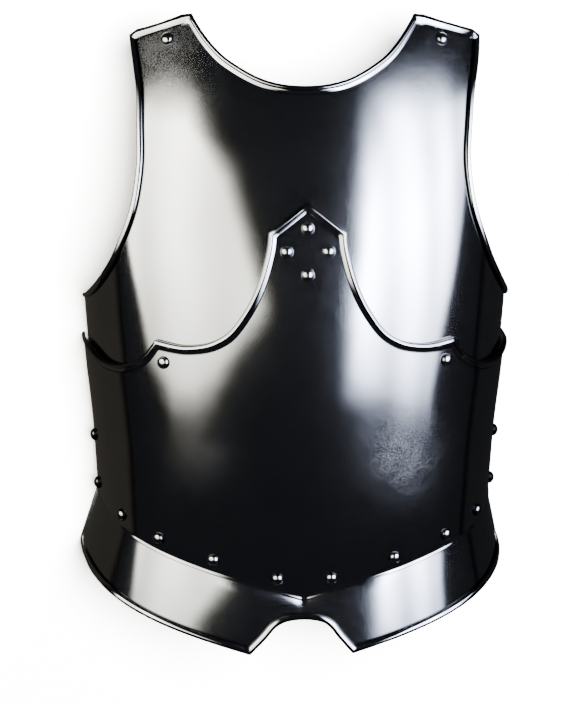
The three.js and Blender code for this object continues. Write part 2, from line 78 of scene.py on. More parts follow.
# Breast plate
# The upper plate is one sheet of mild steel, raised to the chest. Its neck and
# arm edges are rolled outward over a wire, and its shoulder ends are turned up
# into a flat flange.
# Lengths are in mm. A place on a plate is (around, height): around is 0 on the centre
# line and 1 or -1 at the side edges, and height is counted toward the neck.
SHEET = 1.5
BODY_LENGTH = 575.0
HALF_WIDTH = 198.0
BODY_DEPTH = 162.0
SQUARENESS = 0.04
SHOULDER_HEIGHT = 275.6
SHOULDER_SLOPE = 15.5
ARM_LEAN = 4.2
ARM_LEAN_HEIGHT = (140.0, 250.0)
ARM_LEAN_AROUND = (0.3, 0.58)
NECK_DEPTH = 58.5
NECK_AROUND = 0.355
SHOULDER_AROUND = 0.603
UNDERARM_HEIGHT = 19.5
LOWER_EDGE_HEIGHT = -60.0
BEAD_RADIUS = 3.7
BEAD_END_RADIUS = 1.7
BEAD_TAPER_AROUND = 0.72
BEAD_WIDTH = 6.4
BEAD_DULLNESS = -0.12
BUFFED_ROUGHNESS = 0.09
STEPPED_WIDTH = 7.2
FLANGE_WIDTH = 8.6
FLANGE_LIFT = 3.0
QUARTER_TURN = math.pi / 2
PROBE = 1e-3
PROFILE_POINTS = 26
CREASE_ANGLE = math.radians(40)
# Slopes of an edge, in radians, over which painted shade darkens its inner
# and outer flank toward black, and how proud the edge stands where that painted shade starts and
# is complete
SHADE_SLOPE_INSIDE = (0.80, 1.05)
SHADE_SLOPE_OUTSIDE = (0.35, 0.65)
SHADE_LIFT = (2.0, 3.0)
# Width of the flange in the middle as a share, and how much that grows to its ends
FLANGE_MIDDLE = 0.9
FLANGE_GROWTH = 0.22

# Section of the body: height, width and depth as shares of the named sizes
BODY_TABLE = np.array([
    # height, width, depth
    (-0.52, 0.870, 0.795),
    (-0.39, 0.897, 0.890),
    (-0.26, 0.920, 0.952),
    (-0.13, 0.943, 0.992),
    (0.00, 0.972, 1.000),
    (0.13, 0.990, 0.975),
    (0.26, 0.972, 0.905),
    (0.39, 0.915, 0.765),
    (0.52, 0.835, 0.520),
])
# Neck edge: share of NECK_AROUND, share of NECK_DEPTH
NECK_TABLE = np.array([(0, 0), (0.31, 0.085), (0.61, 0.365), (0.8, 0.635), (1, 1)])
# Arm edge: around, share of the height from the underarm to the shoulder
ARM_TABLE = np.array([
    (1, 0), (0.84, 0.03), (0.71, 0.085), (0.6, 0.18), (0.533, 0.286), (0.49, 0.39),
    (0.4715, 0.49), (0.4695, 0.59), (0.487, 0.7), (0.514, 0.815), (0.554, 0.906),
    (SHOULDER_AROUND, 1),
])
# Rolled edge section, rounded off toward the plate: shares of BEAD_WIDTH out, of BEAD_RADIUS up
BEAD_TABLE = np.array([
    (0.00, 0.00), (0.00, 0.22), (0.03, 0.48), (0.10, 0.68), (0.20, 0.86), (0.31, 0.98),
    (0.43, 1.06), (0.53, 1.11), (0.61, 1.12), (0.68, 1.09), (0.75, 1.00), (0.83, 0.85),
    (0.91, 0.67), (0.97, 0.48), (1.00, 0.24), (1.00, -0.05), (0.96, -0.27), (0.85, -0.38),
    (0.45, -0.405),
])
# Rolled edge section with a step, at the neck and on the plackart: shares of
# STEPPED_WIDTH out, of BEAD_RADIUS up
STEPPED_TABLE = np.array([
    (0.00, 0.00), (0.10, 0.06), (0.25, 0.18), (0.40, 0.30), (0.43, 0.40), (0.455, 0.58),
    (0.48, 0.76), (0.52, 0.86), (0.58, 0.94), (0.64, 0.96), (0.70, 0.91), (0.80, 0.80),
    (0.92, 0.67), (0.98, 0.54), (1.00, 0.30), (1.00, 0.00), (0.97, -0.25), (0.86, -0.38),
    (0.45, -0.405),
])
# Shoulder flange section: share of FLANGE_WIDTH out, share of FLANGE_LIFT up
FLANGE_TABLE = np.array([
    (0, 0), (0.04, 0.12), (0.10, 0.30), (0.25, 0.60), (0.41, 0.86), (0.52, 1.0), (0.58, 0.99),
    (0.68, 0.89), (0.80, 0.75), (0.92, 0.61), (0.98, 0.48), (1.00, 0.22), (1.00, -0.10),
    (0.97, -0.33), (0.86, -0.48), (0.40, -0.50),
])


def natural_spline(places, values):
    """Curve through evenly spaced rows, with continuous curvature."""
    step = places[1] - places[0]
    last = len(places) - 1
    matrix = np.eye(last + 1)
    change = np.zeros(last + 1)
    for i in range(1, last):
        matrix[i, i - 1:i + 2] = (1, 4, 1)
        change[i] = 6 * (values[i + 1] - 2 * values[i] + values[i - 1]) / step ** 2
    bend = np.linalg.solve(matrix, change)

    def at(place):
        share = (np.asarray(place, float) - places[0]) / step
        i = np.clip(np.floor(share), 0, last - 1).astype(int)
        b = share - i
        a = 1 - b
        curve = ((a ** 3 - a) * bend[i] + (b ** 3 - b) * bend[i + 1]) * step ** 2 / 6
        return a * values[i] + b * values[i + 1] + curve

    return at


width_at = natural_spline(BODY_TABLE[:, 0] * BODY_LENGTH, BODY_TABLE[:, 1] * HALF_WIDTH)
depth_at = natural_spline(BODY_TABLE[:, 0] * BODY_LENGTH, BODY_TABLE[:, 2] * BODY_DEPTH)


def section_shares(around):
    angle = around * QUARTER_TURN
    across = (np.sin(angle) + SQUARENESS * np.sin(3 * angle)) / (1 - SQUARENESS)
    out = (np.cos(angle) - SQUARENESS * np.cos(3 * angle)) / (1 - SQUARENESS)
    return across, out


def smooth_share(value, start, end):
    share = np.clip((value - start) / (end - start), 0, 1)
    return share * share * (3 - 2 * share)


def body_surface(around, height):
    """The body's form. The hammered shoulders lean a little to the right."""
    across, out = section_shares(around)
    lean = smooth_share(height, *ARM_LEAN_HEIGHT) * smooth_share(np.abs(around), *ARM_LEAN_AROUND)
    sideways = width_at(height) * across + ARM_LEAN * lean
    return np.stack([sideways, height + 0 * around, depth_at(height) * out], -1)


def normals_on(surface, around, height):
    across = surface(around + PROBE, height) - surface(around - PROBE, height)
    along = surface(around, height + PROBE) - surface(around, height - PROBE)
    normal = np.cross(across, along)
    return normal / np.linalg.norm(normal, axis=-1, keepdims=True)


def through(rows, steps, first=0.0):
    """Smooth curve through a table's rows, cut into even steps."""
    rows = np.asarray(rows, float)
    last = len(rows) - 1
    place = np.linspace(first, 1, steps + 1) * last
    i = np.minimum(place.astype(int), last - 1)
    share = (place - i)[:, None]
    before, here = rows[np.maximum(i - 1, 0)], rows[i]
    there, after = rows[i + 1], rows[np.minimum(i + 2, last)]
    leave, arrive = (there - before) / 2, (after - here) / 2
    return (
        (2 * here - 2 * there + leave + arrive) * share ** 3
        + (3 * there - 3 * here - 2 * leave - arrive) * share ** 2
        + leave * share
        + here
    )


def both_sides(half):
    """One edge from the centre line to the side, copied to the other side."""
    return np.concatenate([half[:0:-1] * (-1, 1), half])


def level_curve(rows, steps):
    """A curve that starts on the centre line and runs level across it."""
    return through(both_sides(np.asarray(rows, float)), steps, first=0.5)


def line(start, end, steps):
    return np.linspace(start, end, steps + 1)


def joined(*stretches):
    return np.concatenate([stretches[0]] + [nodes[1:] for nodes in stretches[1:]])


def length_shares(surface, nodes):
    points = surface(nodes[:, 0], nodes[:, 1])
    lengths = np.linalg.norm(np.diff(points, axis=0), axis=1)
    return np.concatenate([[0], np.cumsum(lengths)]) / lengths.sum()


def roll_profile(radius, table, width):
    """Section of a rolled edge, flush inside and proud outside."""
    section = through(table, PROFILE_POINTS)[1:]
    proud = np.where(section[:, 1] > 0, radius, BEAD_RADIUS)
    return np.stack([section[:, 0] * width * radius / BEAD_RADIUS, section[:, 1] * proud], -1)


def flange_section(around):
    """The flange widens toward both its ends, so that it looks even from above."""
    share = (abs(around) - NECK_AROUND) / (SHOULDER_AROUND - NECK_AROUND)
    width = FLANGE_WIDTH * (FLANGE_MIDDLE + FLANGE_GROWTH * (2 * share - 1) ** 2)
    return through(FLANGE_TABLE * (width, FLANGE_LIFT), PROFILE_POINTS)[1:]


def tapered_roll(around, table=BEAD_TABLE, width=BEAD_WIDTH):
    """A roll that grows thinner toward the side edges."""
    share = smooth_share(abs(around), BEAD_TAPER_AROUND, 1)
    return roll_profile(BEAD_RADIUS + (BEAD_END_RADIUS - BEAD_RADIUS) * share, table, width)


def stepped_roll(around):
    return tapered_roll(around, STEPPED_TABLE, STEPPED_WIDTH)


def edge_direction(before, after, round_corners):
    """Direction that a rolled edge's section leans out in, at a node of the edge."""
    if before["profile"] and after["profile"]:
        total = before["outward"] + after["outward"]
        reach = 1 + before["outward"] @ after["outward"]
        return total / ((np.linalg.norm(total) + reach) / 2 if round_corners else reach)
    beaded = before if before["profile"] else after
    plain = -after["along"] if before["profile"] else before["along"]
    lean = plain @ beaded["outward"]
    return plain / lean if abs(lean) > 0.5 else beaded["outward"]


def painted_flank_shade(section):
    """Painted shade along a section: 1, painted black, on its steep flanks."""
    run = np.gradient(section, axis=0)
    slope = np.arctan2(run[:, 1], run[:, 0])
    return np.where(slope > 0, smooth_share(slope, *SHADE_SLOPE_INSIDE),
                    smooth_share(-slope, *SHADE_SLOPE_OUTSIDE))


def mark_points(mesh, **marks):
    """Values kept on a mesh's points, which its material reads by their names."""
    for label, values in marks.items():
        mesh.attributes.new(label, "FLOAT", "POINT").data.foreach_set("value", values)


def plate_object(name, places, surface, lift, edges, materials, dull, round_corners=False):
    """A sheet plate as one closed mesh, polished outside and plain inside."""
    around, height = places[..., 0], places[..., 1]
    rows, columns = places.shape[0] - 1, places.shape[1] - 1
    normals = normals_on(surface, around, height)
    under = lift(around, height)[..., None]
    base = surface(around, height)
    layers = np.concatenate([
        (base + normals * (under + SHEET)).reshape(-1, 3),
        (base + normals * under).reshape(-1, 3),
    ])
    index = np.arange((rows + 1) * (columns + 1)).reshape(rows + 1, columns + 1)
    inside = index + index.size
    corners = (slice(0, -1), slice(1, None))
    faces = [
        np.stack([grid[lo[0], lo[1]] for lo in order], -1).reshape(-1, 4)
        for grid, order in (
            (index, [(corners[0], corners[0]), (corners[0], corners[1]),
                     (corners[1], corners[1]), (corners[1], corners[0])]),
            (inside, [(corners[0], corners[0]), (corners[1], corners[0]),
                      (corners[1], corners[1]), (corners[0], corners[1])]),
        )
    ]
    polygons = [tuple(face) for face in faces[0].tolist()]
    inner_from = len(polygons)
    polygons += [tuple(face) for face in faces[1].tolist()]
    inner_to = len(polygons)

    loop = [(0, i, edges["lower"](i)) for i in range(columns)]
    loop += [(j, columns, edges["side"](j)) for j in range(rows)]
    loop += [(rows, i, edges["upper"](i - 1)) for i in range(columns, 0, -1)]
    loop += [(j, 0, edges["side"](j - 1)) for j in range(rows, 0, -1)]
    nodes = []
    for (row, column, profile), following in zip(loop, loop[1:] + loop[:1]):
        start = layers[index[row, column]]
        along = layers[index[following[0], following[1]]] - start
        along = along / np.linalg.norm(along)
        normal = normals[row, column]
        outward = np.cross(along, normal)
        nodes.append({
            "around": around[row, column],
            "outer": int(index[row, column]),
            "inner": int(inside[row, column]),
            "start": start,
            "normal": normal,
            "along": along,
            "outward": outward / np.linalg.norm(outward),
            "profile": profile,
        })
    extra = []
    crease = np.zeros(2 * index.size)
    dullness = np.concatenate([dull(around, height).ravel(), np.zeros(index.size)])
    extra_painted_shade, extra_dullness = [], []
    for k, node in enumerate(nodes):
        before = nodes[k - 1]
        ahead, behind = node["profile"] or before["profile"], before["profile"] or node["profile"]
        if not ahead:
            continue
        section = (ahead(node["around"]) + behind(node["around"])) / 2
        direction = edge_direction(before, node, round_corners)
        first = len(layers) + len(extra)
        extra += list(node["start"] + section[:, :1] * direction + section[:, 1:] * node["normal"])
        # Painted shade: the plate's node beside a proud edge and the edge's steep flanks are
        # darkened toward black in the colour
        proud = smooth_share(section[:, 1].max(), *SHADE_LIFT)
        crease[node["outer"]] = proud
        extra_painted_shade += list(painted_flank_shade(section) * proud)
        extra_dullness += [BEAD_DULLNESS] * len(section)
        middle = range(first, first + len(section))
        node["ring"] = [node["outer"], *middle, node["inner"]]
    for k, node in enumerate(nodes):
        following = nodes[(k + 1) % len(nodes)]
        here = node["ring"] if node["profile"] else [node["outer"], node["inner"]]
        there = following["ring"] if node["profile"] else [following["outer"], following["inner"]]
        for p in range(len(here) - 1):
            polygons.append((here[p], here[p + 1], there[p + 1], there[p]))
        if node["profile"] and not nodes[k - 1]["profile"]:
            polygons.append(tuple(node["ring"]))
        if not node["profile"] and nodes[k - 1]["profile"]:
            polygons.append(tuple(reversed(node["ring"])))

    points = np.concatenate([layers, np.array(extra)]) * MM
    points[:, 1] += LENGTH_SHIFT
    mesh = bpy.data.meshes.new(name)
    mesh.from_pydata(points.tolist(), [], polygons)
    for material in materials:
        mesh.materials.append(material)
    slots = np.zeros(len(polygons), int)
    slots[inner_from:inner_to] = 1
    mesh.polygons.foreach_set("material_index", slots)
    mesh.polygons.foreach_set("use_smooth", np.ones(len(polygons), bool))
    mesh.set_sharp_from_angle(angle=CREASE_ANGLE)
    mark_points(mesh, crease=np.concatenate([crease, extra_painted_shade]),
                dull=np.concatenate([dullness, extra_dullness]))
    return placed(name, mesh)


def srgb(code):
    """An sRGB hex colour turned to linear light, with alpha 1."""
    values = [int(code[i:i + 2], 16) / 255 for i in (0, 2, 4)]
    return (*(v / 12.92 if v <= 0.04045 else ((v + 0.055) / 1.055) ** 2.4 for v in values), 1.0)


def add_node(tree, kind, settings=None, inputs=None):
    """A node with its settings and inputs. An input is a value, or a (node, output) to link."""
    made = tree.nodes.new(kind)
    for name, value in (settings or {}).items():
        setattr(made, name, value)
    for socket, value in (inputs or {}).items():
        if isinstance(value, tuple) and isinstance(value[0], bpy.types.Node):
            tree.links.new(value[0].outputs[value[1]], made.inputs[socket])
        else:
            made.inputs[socket].default_value = value
    return made


def empty_material(name):
    material = bpy.data.materials.new(name)
    material.use_nodes = True
    material.node_tree.nodes.clear()
    return material, material.node_tree


def per_metre(size):
    """Scale of a pattern from its size in mm."""
    return 1 / (size * MM)


# Sizes of the polish's patterns: clouds and shallow waves from the hammer and the
# wheel, rubs of the grit, and the deepest that the rubs and waves go
CLOUD_SIZE = 50.0
WAVE_SIZE = 100 / 3
RUB_SIZE = 2 / 3
RUB_DEPTH = 0.015
WAVE_DEPTH = 0.12
RUB_ROUGHNESS = 0.45
# Black of the painted shade along the rolls and round the rivets
PAINTED_SHADE_BLACK = "0b0b0c"


def polished_steel(name, light, dark, roughness):
    """Cold-rolled mild steel, planished, ground and buffed on a wheel.

    It mirrors the room, a little softly and unevenly, goes hazy where it is dull, and has shade
    painted black along its rolls and round its rivets.
    """
    material, tree = empty_material(name)
    place = add_node(tree, "ShaderNodeTexCoord")
    output = add_node(tree, "ShaderNodeOutputMaterial")
    # The wheel wanders, so the polish is cloudy
    cloud = add_node(tree, "ShaderNodeTexNoise", None, {
        "Vector": (place, "Object"), "Scale": per_metre(CLOUD_SIZE), "Detail": 5.0,
        "Roughness": 0.6})
    tone = add_node(tree, "ShaderNodeMix", {"data_type": "RGBA"}, {
        "Factor": (cloud, "Fac"), 6: srgb(dark), 7: srgb(light)})
    # Painted shade: black mixed into the colour along the rolls and round the rivets, in their
    # creases and on their steep flanks
    painted_shade_mask = add_node(tree, "ShaderNodeAttribute", {"attribute_name": "crease"})
    shade_depth = add_node(tree, "ShaderNodeMath", {"operation": "POWER"}, {
        0: (painted_shade_mask, "Fac"), 1: 1.6})
    colour = add_node(tree, "ShaderNodeMix", {"data_type": "RGBA"}, {
        "Factor": (shade_depth, 0), 6: (tone, 2), 7: srgb(PAINTED_SHADE_BLACK)})
    # Rubs of the grit: 0.1 mm wide in truth, drawn at 0.7 mm so that they show
    rubs = add_node(tree, "ShaderNodeTexNoise", None, {
        "Vector": (place, "Object"), "Scale": per_metre(RUB_SIZE), "Detail": 2.0,
        "Roughness": 0.7})
    rub_depth = add_node(tree, "ShaderNodeMapRange", None, {
        "Value": (rubs, "Fac"), "From Min": 0.38, "From Max": 0.62, "To Min": 0.0, "To Max": 1.0})
    patchy = add_node(tree, "ShaderNodeMapRange", None, {
        "Value": (cloud, "Fac"), "From Min": 0.35, "From Max": 0.65,
        "To Min": 0.75, "To Max": 1.2})
    zone = add_node(tree, "ShaderNodeAttribute", {"attribute_name": "dull"})
    dulled = add_node(tree, "ShaderNodeMath", {"operation": "MULTIPLY"}, {
        0: (zone, "Fac"), 1: (patchy, "Result")})
    rubbed = add_node(tree, "ShaderNodeMath", {"operation": "MULTIPLY"}, {
        0: (rub_depth, "Result"), 1: (dulled, 0)})
    gloss = add_node(tree, "ShaderNodeMath", {"operation": "MULTIPLY_ADD"}, {
        0: (rubbed, 0), 1: RUB_ROUGHNESS, 2: roughness})
    wave = add_node(tree, "ShaderNodeTexNoise", None, {
        "Vector": (place, "Object"), "Scale": per_metre(WAVE_SIZE), "Detail": 1.0,
        "Roughness": 0.4})
    rub_bump = add_node(tree, "ShaderNodeBump", None, {
        "Strength": 1.0, "Distance": RUB_DEPTH * MM, "Height": (rubs, "Fac")})
    wave_bump = add_node(tree, "ShaderNodeBump", None, {
        "Strength": 1.0, "Distance": WAVE_DEPTH * MM, "Height": (wave, "Fac"),
        "Normal": (rub_bump, "Normal")})
    shader = add_node(tree, "ShaderNodeBsdfPrincipled", None, {
        "Base Color": (colour, 2), "Metallic": 1.0, "Roughness": (gloss, 0),
        "Normal": (wave_bump, "Normal")})
    tree.links.new(shader.outputs["BSDF"], output.inputs["Surface"])
    return material


# Sizes of the inside's patterns: the skin's stains and the hammer's marks, and their depth
SKIN_SIZE = 25.0
HAMMER_MARK_SIZE = 100 / 7
HAMMER_MARK_DEPTH = 0.3


def plain_steel(name, light, dark):
    """The unseen side, left with its dark rolling skin.

    It is a dull dark grey, dimpled by the hammer.
    """
    material, tree = empty_material(name)
    place = add_node(tree, "ShaderNodeTexCoord")
    output = add_node(tree, "ShaderNodeOutputMaterial")
    cloud = add_node(tree, "ShaderNodeTexNoise", None, {
        "Vector": (place, "Object"), "Scale": per_metre(SKIN_SIZE), "Detail": 6.0,
        "Roughness": 0.65})
    tone = add_node(tree, "ShaderNodeMix", {"data_type": "RGBA"}, {
        "Factor": (cloud, "Fac"), 6: srgb(dark), 7: srgb(light)})
    dents = add_node(tree, "ShaderNodeTexVoronoi", {"feature": "SMOOTH_F1"}, {
        "Vector": (place, "Object"), "Scale": per_metre(HAMMER_MARK_SIZE)})
    bump = add_node(tree, "ShaderNodeBump", None, {
        "Strength": 1.0, "Distance": HAMMER_MARK_DEPTH * MM, "Height": (dents, "Distance")})
    shader = add_node(tree, "ShaderNodeBsdfPrincipled", None, {
        "Base Color": (tone, 2), "Metallic": 1.0, "Roughness": 0.45,
        "Normal": (bump, "Normal")})
    tree.links.new(shader.outputs["BSDF"], output.inputs["Surface"])
    return material


plate_steel = polished_steel(
    "buffed_mild_steel_breast_plate", "c8cacc", "b4b6b9", BUFFED_ROUGHNESS)
inside_steel = plain_steel("rolled_steel_skin_inside", "7d7f83", "5e6064")

shoulder_foot = SHOULDER_HEIGHT - SHOULDER_SLOPE
neck = level_curve([
    (share * NECK_AROUND, SHOULDER_HEIGHT - NECK_DEPTH * (1 - rise)) for share, rise in NECK_TABLE
], 64)
shoulder = line((NECK_AROUND, SHOULDER_HEIGHT), (SHOULDER_AROUND, shoulder_foot), 18)
SHOULDER_STEPS = len(shoulder) - 1
upper = both_sides(joined(neck, shoulder))
SIDE_STEPS = 20
side_foot = np.array((1.0, LOWER_EDGE_HEIGHT))
side = joined(
    line(side_foot, (1, UNDERARM_HEIGHT), SIDE_STEPS),
    through([
        (a, UNDERARM_HEIGHT + r * (shoulder_foot - UNDERARM_HEIGHT)) for a, r in ARM_TABLE
    ], 96),
)
sweep = 2 * length_shares(body_surface, upper) - 1
climb = length_shares(body_surface, side)[:, None]
foot = np.stack([sweep, np.full_like(sweep, LOWER_EDGE_HEIGHT)], -1)
plain = foot + (upper - foot) * climb[:, :, None]
corner_line = side_foot + (upper[-1] - side_foot) * climb
bulge = side - corner_line
breast_places = plain.copy()
breast_places[..., 0] += bulge[:, :1] * sweep
breast_places[..., 1] += bulge[:, 1:]
last_column = len(upper) - 1

CHEST_DULLNESS = 0.05
# Where the shoulders were buffed less: around, height, reach around, reach along, dullness
SHOULDER_PATCHES = [
    (-0.45, 255.0, 0.20, 62.0, 0.55), (0.33, 222.0, 0.13, 30.0, 0.42),
    (0.50, 262.0, 0.16, 40.0, 0.22),
]


def patches(around, height, table):
    """Dullness of a table's soft-edged patches, added up."""
    return sum(
        depth * np.exp(-((around - a) / across) ** 2 - ((height - h) / along) ** 2)
        for a, h, across, along, depth in table
    )


def breast_dullness(around, height):
    return CHEST_DULLNESS + patches(around, height, SHOULDER_PATCHES)


breast_plate = plate_object(
    "breast_plate_sheet",
    breast_places,
    body_surface,
    lambda around, height: np.full_like(around, -SHEET),
    {
        "lower": lambda i: None,
        "side": lambda j: None if j < SIDE_STEPS else tapered_roll,
        "upper": lambda i: (
            flange_section
            if i < SHOULDER_STEPS or i >= last_column - SHOULDER_STEPS
            else stepped_roll
        ),
    },
    [plate_steel, inside_steel],
    breast_dullness,
    round_corners=True,
)
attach(breast_plate, "root")
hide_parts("breast_plate")


# Plackart
# The lower plate lies over the breast plate's lower part and comes up to a
# pointed gable on the chest. Its upper edge is rolled outward in one line, and
# its lower edge is cut and dressed round.
SEAT = 0.3
CUSP_HEIGHT = -3.0
GABLE_RISE = 100.0
APEX_RISE = 21.0
GABLE_AROUND = 0.075
CUSP_AROUND = 0.408
SCOOP_DEPTH = 27.0
SIDE_STAND = 2.0
SIDE_STAND_AROUND = 0.85
SIDE_RIVET_RISE = 52.0
WAIST_SIDE_HEIGHT = -157.0
WAIST_DROP = 72.0
WAIST_CURVE = 1.35
DRESSED_WIDTH = 3.2
# Dressed edge section, its lip following the skirt: share of DRESSED_WIDTH out, of SHEET up
DRESSED_TABLE = np.array([
    (0, 0), (0.12, 0.05), (0.35, 0.28), (0.6, 0.58), (0.78, 0.72), (0.9, 0.70), (0.97, 0.45),
    (1.0, 0.0), (0.97, -0.5), (0.85, -0.75), (0.4, -0.85),
])
# Flank from the gable to the cusp: around, share of GABLE_RISE above the cusp
FLANK_TABLE = [
    (GABLE_AROUND, 1), (0.08, 0.86), (0.097, 0.633), (0.12, 0.436), (0.15, 0.263),
    (0.182, 0.129), (0.219, 0.045), (0.263, -0.006), (0.33, -0.028), (CUSP_AROUND, 0),
]
# Scoop from the cusp to the side edge: around, share of SCOOP_DEPTH below the cusp
SCOOP_TABLE = [
    (CUSP_AROUND, 0), (0.445, 0.41), (0.495, 0.72), (0.558, 0.93), (0.622, 1),
    (0.7, 0.945), (0.78, 0.76), (0.87, 0.6), (1, 0.52),
]


def dressed_edge(around):
    """A cut edge with a thin lip, dressed with a file."""
    return through(DRESSED_TABLE * (DRESSED_WIDTH, SHEET), PROFILE_POINTS)[1:]


def waist_height(around):
    return WAIST_SIDE_HEIGHT - WAIST_DROP * np.maximum(1 - np.abs(around), 0) ** WAIST_CURVE


def plackart_lift(around, height):
    sideways = smooth_share(np.abs(around), CUSP_AROUND, SIDE_STAND_AROUND)
    upward = smooth_share(height, WAIST_SIDE_HEIGHT + SIDE_RIVET_RISE, CUSP_HEIGHT - SCOOP_DEPTH)
    return SEAT + SIDE_STAND * sideways * upward


PLACKART_ROWS = 90
gable = (GABLE_AROUND, CUSP_HEIGHT + GABLE_RISE)
apex = (0.0, gable[1] + APEX_RISE)
crown = both_sides(joined(
    line(apex, gable, 10),
    through([(a, CUSP_HEIGHT + r * GABLE_RISE) for a, r in FLANK_TABLE], 60),
    through([(a, CUSP_HEIGHT - d * SCOOP_DEPTH) for a, d in SCOOP_TABLE], 56),
))
sweep = 2 * length_shares(body_surface, crown) - 1
hem_around = (crown[:, 0] + sweep) / 2
hem = np.stack([hem_around, waist_height(hem_around)], -1)
climb = np.linspace(0, 1, PLACKART_ROWS + 1)[:, None, None]
# Where the belly was buffed less: around, height, reach around, reach along, dullness
BELLY_PATCHES = [(-0.31, -100.0, 0.13, 34.0, 0.30), (0.27, -104.0, 0.15, 44.0, 0.55)]


def plackart_dullness(around, height):
    return CHEST_DULLNESS + patches(around, height, BELLY_PATCHES)


plackart_steel = polished_steel(
    "buffed_mild_steel_plackart", "c4c6c9", "b0b2b6", BUFFED_ROUGHNESS)
plackart = plate_object(
    "plackart_sheet",
    hem + (crown - hem) * climb,
    body_surface,
    plackart_lift,
    {
        "lower": lambda i: dressed_edge,
        "side": lambda j: None,
        "upper": lambda i: stepped_roll,
    },
    [plackart_steel, inside_steel],
    plackart_dullness,
)
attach(plackart, "root")
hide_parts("plackart")


# Fauld lame
# The skirt plate is tucked under the plackart's lower edge and bends outward
# below it. Its hem, with a notch at the front, is rolled like the arm edges.
LOWER_LAP = 24.0
SKIRT_SIDE_LENGTH = 49.0
SKIRT_FRONT_LENGTH = 55.7
SIDE_FLARE = 0.33
FRONT_FLARE = 0.42
BEND_LENGTH = 5.0
SKIRT_LEAN = 0.055
SKIRT_DULLNESS = 0.06
# The bend bulges at the front, where it would make a valley under the waist's point
FRONT_FILL = 7.0
FILL_AROUND = 0.09
FILL_DROP = 12.0
CORNER_LENGTH = 4.0
CORNER_AROUND = 0.8
NOTCH_AROUND = 0.139
NOTCH_RISE = 29.0
# Notch from the centre line to its point: share of NOTCH_AROUND, share of NOTCH_RISE
NOTCH_TABLE = [(0, 1), (0.355, 0.94), (0.6, 0.74), (0.793, 0.37), (1, 0)]
HEM_STEPS = 80
NOTCH_STEPS = 24
SKIRT_ROWS = 24
BEND_ROWS = 8
LAP_ROWS = 8


def skirt_surface(around, height):
    across, out = section_shares(around)
    drop = np.maximum(waist_height(around) - height, 0)
    fill = FRONT_FILL * np.exp(-np.abs(around) / FILL_AROUND)
    drop = drop + fill * smooth_share(drop, 0, FILL_DROP)
    flare = np.where(drop < BEND_LENGTH, drop ** 2 / (2 * BEND_LENGTH), drop - BEND_LENGTH / 2)
    point = body_surface(around, height)
    point[..., 0] += flare * (SIDE_FLARE * across - SKIRT_LEAN)
    point[..., 2] += flare * FRONT_FLARE * out
    return point


end_roll = roll_profile(BEAD_END_RADIUS, BEAD_TABLE, BEAD_WIDTH)


def skirt_edge_around(height):
    """Place around the skirt where its edge roll just clears the floor."""
    slope = (1 + 3 * SQUARENESS) / (1 - SQUARENESS)
    return 1 - end_roll[:, 0].max() / (depth_at(height) * slope * QUARTER_TURN)


point_height = waist_height(NOTCH_AROUND) - SKIRT_FRONT_LENGTH
notch = level_curve([(a * NOTCH_AROUND, point_height + r * NOTCH_RISE) for a, r in NOTCH_TABLE],
                    NOTCH_STEPS)
hem_around = np.linspace(NOTCH_AROUND, 1, HEM_STEPS + 1)
hem_length = SKIRT_FRONT_LENGTH + (SKIRT_SIDE_LENGTH - SKIRT_FRONT_LENGTH) * (
    (hem_around - NOTCH_AROUND) / (1 - NOTCH_AROUND))
hem_length += CORNER_LENGTH * smooth_share(hem_around, CORNER_AROUND, 1)
hem = np.stack([hem_around, waist_height(hem_around) - hem_length], -1)
skirt_hem = both_sides(joined(notch, hem))
sweep = 2 * length_shares(skirt_surface, skirt_hem) - 1
even = (skirt_hem[:, 0] + sweep) / 2


def skirt_row(offset):
    around = even * skirt_edge_around(WAIST_SIDE_HEIGHT + offset)
    return np.stack([around, waist_height(around) + offset], -1)


hem_row = skirt_hem.copy()
hem_row[:, 0] *= skirt_edge_around(skirt_hem[:, 1])
bend_row = skirt_row(-BEND_LENGTH)
skirt_places = np.stack(
    [hem_row + (bend_row - hem_row) * j / SKIRT_ROWS for j in range(SKIRT_ROWS)]
    + [skirt_row(-BEND_LENGTH * (1 - j / BEND_ROWS)) for j in range(BEND_ROWS)]
    + [skirt_row(LOWER_LAP * j / LAP_ROWS) for j in range(LAP_ROWS + 1)]
)
fauld_steel = polished_steel("buffed_mild_steel_fauld", "c2c4c8", "aeb1b5", BUFFED_ROUGHNESS)
fauld = plate_object(
    "fauld_sheet",
    skirt_places,
    skirt_surface,
    lambda around, height: np.full_like(around, -SHEET),
    {
        "lower": lambda i: tapered_roll,
        "side": lambda j: (lambda around: end_roll) if j < SKIRT_ROWS + BEND_ROWS - 1 else None,
        "upper": lambda i: None,
    },
    [fauld_steel, inside_steel],
    lambda around, height: np.full_like(around, SKIRT_DULLNESS),
)
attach(fauld, "root")
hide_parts("fauld_lame")


# Rivets
# Domed steel rivets hold the plates together. Each is set from outside and
# peened over inside.
HEAD_RADIUS = 5.8
HEAD_HEIGHT = 4.7
SHANK_RADIUS = 3.2
TAIL_RADIUS = 4.6
TAIL_FLAT_RADIUS = 3.7
TAIL_HEIGHT = 1.6
WAIST_RIVET_INSET = 10.5
CUSP_RIVET_INSET = 12.0
SHOULDER_RIVET_INSET = 8.5
DIAMOND_TOP_INSET = 13.5
DIAMOND_HALF_HEIGHT = 20.0
DIAMOND_HALF_WIDTH = 18.0
SHOULDER_RIVET_AROUND = 0.436
CUSP_RIVET_AROUND = 0.395
SIDE_RIVET_AROUND = 0.9
WAIST_RIVETS_AROUND = (0.074, 0.258, 0.449, 0.637, 0.89)
RIVET_SIDES = 40
DOME_RINGS = 12
# Angles up the dome, in radians, over which the painted shade round its rim fades out
RIM_SHADE_ANGLE = (0.35, 0.75)
HEAD_SEAT = 0.05
RIVET_ROUGHNESS = 0.1

